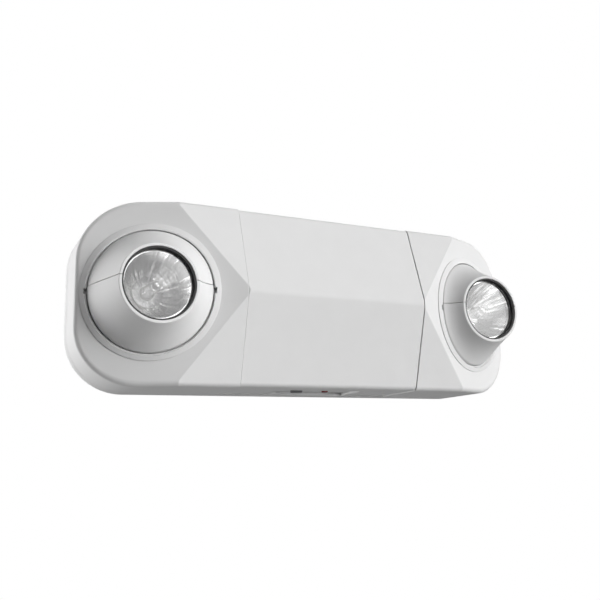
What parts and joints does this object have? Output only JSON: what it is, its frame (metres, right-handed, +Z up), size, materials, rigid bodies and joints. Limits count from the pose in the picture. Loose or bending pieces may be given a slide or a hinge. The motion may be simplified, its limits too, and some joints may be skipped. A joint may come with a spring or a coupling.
{
  "type": "twin-head emergency light",
  "caption": "White wall-mounted emergency light with a hip-roofed housing, a wrap-over centre cover and swivelling, tilting reflector lamp heads on its end facets",
  "frame": {"origin": "centre of the back face, on the wall plane", "axes": "+X to the right of a person facing the light, along its length; +Y into the wall; +Z up"},
  "size_m": [0.356, 0.0837, 0.127],
  "materials": {
    "white_moulding": "fine textured white moulding",
    "white_head": "smooth satin white moulding",
    "battery_plastic": "matt black case",
    "tinned_tabs": "tinned",
    "steel": "zinc plated",
    "board": "green solder mask",
    "core": "varnished core and wrapped winding",
    "black_plastic": "moulded black",
    "green_plastic": "moulded green",
    "button_plastic": "moulded dark grey",
    "red_lens": "smoky red",
    "lead_cover": "flexible insulation",
    "black_rubber": "matt black",
    "clear_glass": "polished",
    "bright_reflector": "facetted bright coating",
    "capsule_glass": "clear quartz",
    "white_ceramic": "unglazed"
  },
  "bodies": {
    "housing": {"rear_plate": "white_moulding", "front_housing": "white_moulding", "centre_cover": "white_moulding", "battery_case": "battery_plastic", "battery_terminals": "tinned_tabs", "battery_leads": "lead_cover", "battery_strap": "steel", "strap_screws": "steel", "charger_board": "board", "board_screws": "steel", "transformer": "core", "relay": "black_plastic", "capacitors": "black_plastic", "terminal_block": "green_plastic", "fuse": "tinned_tabs", "test_switch": "black_plastic", "status_lamp": "red_lens", "light_pipe": "red_lens"},
    "button": {"test_button": "button_plastic", "switch_plunger": "black_plastic"},
    "left_ring": {"left_swivel_ring": "white_head", "left_ring_retainer": "black_plastic"},
    "left_head": {"left_upper_shell": "white_head", "left_lower_shell": "white_head", "left_shell_screws": "steel", "left_lamp_gasket": "black_rubber", "left_lamp_glass": "clear_glass", "left_lamp_reflector": "bright_reflector", "left_lamp_capsule": "capsule_glass", "left_lamp_base": "white_ceramic", "left_lamp_holder": "white_ceramic"},
    "right_ring": {"right_swivel_ring": "white_head", "right_ring_retainer": "black_plastic"},
    "right_head": {"right_upper_shell": "white_head", "right_lower_shell": "white_head", "right_shell_screws": "steel", "right_lamp_gasket": "black_rubber", "right_lamp_glass": "clear_glass", "right_lamp_reflector": "bright_reflector", "right_lamp_capsule": "capsule_glass", "right_lamp_base": "white_ceramic", "right_lamp_holder": "white_ceramic"}
  },
  "joints": [
    {"name": "left_swivel", "type": "hinge", "parent": "housing", "child": "left_ring", "pos_m": [-0.1319, -0.0581, 0], "axis": [-0.368, -0.9298, 0], "range_deg": [-170, 170]},
    {"name": "left_tilt", "type": "hinge", "parent": "left_ring", "child": "left_head", "pos_m": [-0.13006, -0.05345, 0], "axis": [0.9298, -0.368, 0], "range_deg": [-25, 25]},
    {"name": "right_swivel", "type": "hinge", "parent": "housing", "child": "right_ring", "pos_m": [0.1319, -0.0581, 0], "axis": [0.368, -0.9298, 0], "range_deg": [-170, 170]},
    {"name": "right_tilt", "type": "hinge", "parent": "right_ring", "child": "right_head", "pos_m": [0.13006, -0.05345, 0], "axis": [0.9298, 0.368, 0], "range_deg": [-25, 25]},
    {"name": "test_press", "type": "slide", "parent": "housing", "child": "button", "axis": [0, 0, 1], "range_m": [0, 0.0008], "stiffness_N_per_m": 600, "springref_m": -0.001}
  ]
}
